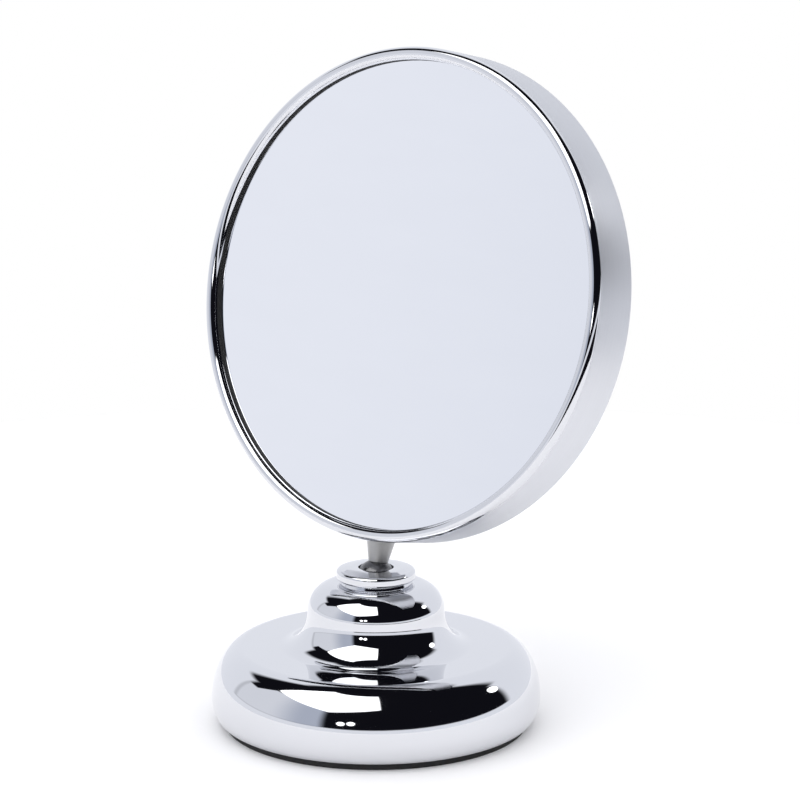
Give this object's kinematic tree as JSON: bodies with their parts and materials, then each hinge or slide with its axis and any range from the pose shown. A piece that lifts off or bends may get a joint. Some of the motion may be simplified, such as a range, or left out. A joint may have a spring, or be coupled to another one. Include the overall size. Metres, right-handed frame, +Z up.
{
  "type": "countertop mirror",
  "caption": "Round countertop mirror in a polished frame, on a short stem and friction ball joint above a weighted round base.",
  "frame": {"origin": "centre of the round base at its underside", "axes": "+Z up along the base axis, -Y is the side the mirror faces at rest, +X to the right of someone looking at the mirror"},
  "size_m": [0.2, 0.135, 0.2744],
  "materials": {
    "chrome": "polished",
    "satin_steel": "satin",
    "stem_steel": "dull",
    "mirror": "polished",
    "rubber": "matt",
    "cast_iron": "cast",
    "zinc_steel": "zinc plated",
    "screw_steel": "plated",
    "spring_steel": "oiled",
    "turned_brass": "turned",
    "acetal": "natural",
    "foam": "matt",
    "cast_zinc": "as cast"
  },
  "bodies": {
    "base": {"foot_pad": "rubber", "bottom_plate": "zinc_steel", "plate_screws": "screw_steel", "ballast_weight": "cast_iron", "base_shell": "chrome", "neck_dome": "chrome", "tie_rod": "zinc_steel", "tie_washer": "zinc_steel", "tie_nut": "zinc_steel", "socket_body": "turned_brass", "disc_springs": "spring_steel", "top_cap": "chrome"},
    "seat": {"lower_seat": "acetal"},
    "pad": {"friction_pad": "acetal"},
    "head": {"ball": "stem_steel", "stem": "stem_steel", "rim_band": "satin_steel", "bezel": "chrome", "glass_seal": "rubber", "mirror_glass": "mirror", "foam_pad": "foam", "backing_plate": "zinc_steel", "retaining_ring": "spring_steel", "stem_bracket": "cast_zinc", "bracket_screws": "screw_steel", "lock_washer": "zinc_steel", "stem_nut": "zinc_steel", "cover_posts": "zinc_steel", "rear_cover": "satin_steel", "cover_screws": "screw_steel"}
  },
  "joints": [
    {"name": "swivel", "type": "hinge", "parent": "base", "child": "seat", "pos_m": [0, 0, 0.0605], "axis": [0, 0, 1], "continuous": true},
    {"name": "tilt", "type": "hinge", "parent": "seat", "child": "pad", "pos_m": [0, 0, 0.0605], "axis": [-1, 0, 0], "range_deg": [-32, 9]},
    {"name": "lean", "type": "hinge", "parent": "pad", "child": "head", "pos_m": [0, 0, 0.0605], "axis": [0, -0.9781, 0.2079], "range_deg": [-16, 16]}
  ]
}
